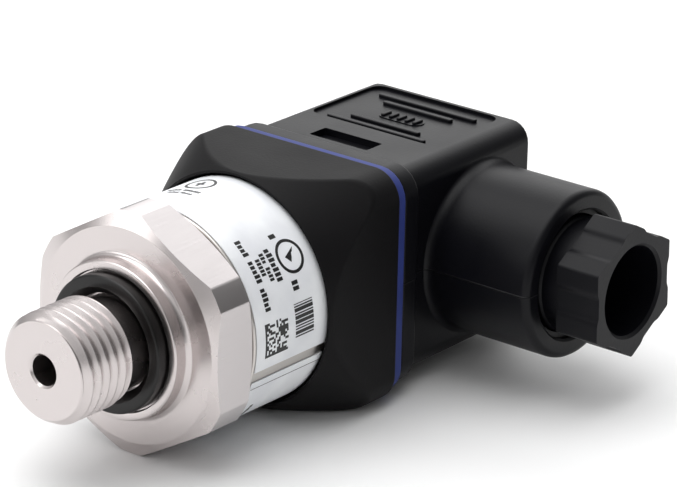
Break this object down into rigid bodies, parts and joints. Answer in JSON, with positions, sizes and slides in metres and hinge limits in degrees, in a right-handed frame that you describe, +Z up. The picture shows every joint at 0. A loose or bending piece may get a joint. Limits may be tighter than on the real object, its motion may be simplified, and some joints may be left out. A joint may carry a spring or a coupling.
{
  "type": "pressure switch",
  "caption": "Pressure switch with male threaded process connection, hexagon, round steel case, square black adapter and angular plug with side cable gland.",
  "frame": {"origin": "centre of the seal ring's seat in the process connection's collar, on the device axis", "axes": "-Y out along the threaded stud, +Y towards the plug, +X out along the cable gland, +Z up through the plug's ribbed panel"},
  "size_m": [0.0498, 0.0734, 0.0294],
  "materials": {
    "stainless_steel": "turned stainless steel, fine feed marks, satin",
    "spring_steel": "drawn spring steel wire and strip",
    "brass": "machined brass",
    "tinned_brass": "tin-plated brass, satin",
    "seal_rubber": "black elastomer, dull",
    "blue_rubber": "blue silicone rubber, dull",
    "black_polyamide": "glass-filled polyamide, moulded, slightly faded black",
    "inner_plastic": "black moulded plastic",
    "carrier_plastic": "natural glass-filled polyester, moulded",
    "red_plastic": "red acetal",
    "label_foil": "white printed polyester foil, silk gloss",
    "brown_insulation": "brown PVC insulation",
    "blue_insulation": "blue PVC insulation",
    "black_insulation": "black PVC insulation"
  },
  "bodies": {
    "device": {"process_connection": "stainless_steel", "port_seal_ring": "seal_rubber", "case_sleeve": "stainless_steel", "nameplate_label": "label_foil", "diaphragm": "seal_rubber", "diaphragm_clamp": "brass", "range_spring": "spring_steel", "switch_carrier": "carrier_plastic", "switch_cover": "inner_plastic", "switch_base": "inner_plastic", "switch_terminal_common": "tinned_brass", "switch_terminal_open": "tinned_brass", "switch_terminal_closed": "tinned_brass", "adapter_housing": "black_polyamide", "case_seal": "seal_rubber", "threaded_insert": "brass", "contact_pin_1": "tinned_brass", "contact_pin_2": "tinned_brass", "contact_pin_3": "tinned_brass", "earth_pin": "tinned_brass", "earth_strap": "spring_steel", "lead_common": "brown_insulation", "lead_closed": "blue_insulation", "lead_open": "black_insulation"},
    "pressure_piston": {"piston": "stainless_steel", "spring_plate": "stainless_steel"},
    "plunger": {"switch_plunger": "red_plastic"},
    "moving_contact": {"snap_blade": "brass"},
    "spring_cap": {"spring_cap": "stainless_steel"},
    "adjusting_screw": {"adjusting_screw": "brass"},
    "plug": {"plug_housing": "black_polyamide", "contact_insert": "inner_plastic", "flat_gasket": "blue_rubber", "gland_grommet": "seal_rubber", "terminal_1": "tinned_brass", "terminal_2": "tinned_brass", "terminal_3": "tinned_brass", "terminal_earth": "tinned_brass"},
    "fixing_screw_seal": {"fixing_screw_seal": "seal_rubber"},
    "fixing_screw": {"fixing_screw": "stainless_steel"},
    "gland_washer": {"gland_washer": "inner_plastic"},
    "gland_nut": {"gland_nut": "black_polyamide"},
    "clamp_1": {"terminal_clamp_1": "tinned_brass"},
    "clamp_screw_1": {"terminal_screw_1": "stainless_steel"},
    "clamp_2": {"terminal_clamp_2": "tinned_brass"},
    "clamp_screw_2": {"terminal_screw_2": "stainless_steel"},
    "clamp_3": {"terminal_clamp_3": "tinned_brass"},
    "clamp_screw_3": {"terminal_screw_3": "stainless_steel"},
    "clamp_earth": {"terminal_clamp_earth": "tinned_brass"},
    "clamp_screw_earth": {"terminal_screw_earth": "stainless_steel"}
  },
  "joints": [
    {"name": "plug_pull", "type": "slide", "parent": "device", "child": "plug", "axis": [0, 1, 0], "range_m": [0, 0.025]},
    {"name": "fixing_screw_travel", "type": "slide", "parent": "plug", "child": "fixing_screw_seal", "axis": [0, 1, 0], "range_m": [0, 0.005]},
    {"name": "fixing_screw_turn", "type": "hinge", "parent": "fixing_screw_seal", "child": "fixing_screw", "pos_m": [0, 0.059, 0], "axis": [0, 1, 0], "range_deg": [0, 3601]},
    {"name": "gland_travel", "type": "slide", "parent": "plug", "child": "gland_washer", "axis": [1, 0, 0], "range_m": [-0.002, 0.004]},
    {"name": "gland_turn", "type": "hinge", "parent": "gland_washer", "child": "gland_nut", "pos_m": [0.03, 0.05105, 0], "axis": [1, 0, 0], "range_deg": [-511, 1021]},
    {"name": "piston_travel", "type": "slide", "parent": "device", "child": "pressure_piston", "axis": [0, 1, 0], "range_m": [0, 0.0009], "stiffness_N_per_m": 3000, "springref_m": -0.0002, "deforming": ["range_spring", "diaphragm"]},
    {"name": "plunger_travel", "type": "slide", "parent": "device", "child": "plunger", "axis": [0, 1, 0], "range_m": [0, 0.0009]},
    {"name": "moving_contact_swing", "type": "hinge", "parent": "device", "child": "moving_contact", "pos_m": [0.00775, 0.01475, -0.005], "axis": [-1, 0, 0], "range_deg": [0, 8.6]},
    {"name": "setpoint_travel", "type": "slide", "parent": "device", "child": "spring_cap", "axis": [0, 1, 0], "range_m": [-0.001, 0.001], "deforming": ["range_spring"]},
    {"name": "setpoint_turn", "type": "hinge", "parent": "spring_cap", "child": "adjusting_screw", "pos_m": [0, 0.024, 0], "axis": [0, 1, 0], "range_deg": [-481, 481]},
    {"name": "clamp_1_travel", "type": "slide", "parent": "plug", "child": "clamp_1", "axis": [0, -1, 0], "range_m": [0, 0.0012]},
    {"name": "clamp_1_screw_turn", "type": "hinge", "parent": "clamp_1", "child": "clamp_screw_1", "pos_m": [0.006, 0.05, 0], "axis": [0, -1, 0], "range_deg": [0, 1153]},
    {"name": "clamp_2_travel", "type": "slide", "parent": "plug", "child": "clamp_2", "axis": [0, -1, 0], "range_m": [0, 0.0012]},
    {"name": "clamp_2_screw_turn", "type": "hinge", "parent": "clamp_2", "child": "clamp_screw_2", "pos_m": [-0.006, 0.05, 0], "axis": [0, -1, 0], "range_deg": [0, 1153]},
    {"name": "clamp_3_travel", "type": "slide", "parent": "plug", "child": "clamp_3", "axis": [0, -1, 0], "range_m": [0, 0.0012]},
    {"name": "clamp_3_screw_turn", "type": "hinge", "parent": "clamp_3", "child": "clamp_screw_3", "pos_m": [0, 0.05, 0.006], "axis": [0, -1, 0], "range_deg": [0, 1153]},
    {"name": "clamp_earth_travel", "type": "slide", "parent": "plug", "child": "clamp_earth", "axis": [0, -1, 0], "range_m": [0, 0.0012]},
    {"name": "clamp_earth_screw_turn", "type": "hinge", "parent": "clamp_earth", "child": "clamp_screw_earth", "pos_m": [0, 0.05, -0.006], "axis": [0, -1, 0], "range_deg": [0, 1153]}
  ],
  "couplings": [
    {"joint": "fixing_screw_turn", "follows": "fixing_screw_travel", "rad_per_m": 12566},
    {"joint": "gland_turn", "follows": "gland_travel", "rad_per_m": 4453},
    {"joint": "plunger_travel", "follows": "piston_travel", "ratio": 1},
    {"joint": "moving_contact_swing", "follows": "piston_travel", "rad_per_m": 166},
    {"joint": "setpoint_turn", "follows": "setpoint_travel", "rad_per_m": 8377.6},
    {"joint": "clamp_1_screw_turn", "follows": "clamp_1_travel", "rad_per_m": 12566},
    {"joint": "clamp_2_screw_turn", "follows": "clamp_2_travel", "rad_per_m": 12566},
    {"joint": "clamp_3_screw_turn", "follows": "clamp_3_travel", "rad_per_m": 12566},
    {"joint": "clamp_earth_screw_turn", "follows": "clamp_earth_travel", "rad_per_m": 12566}
  ]
}
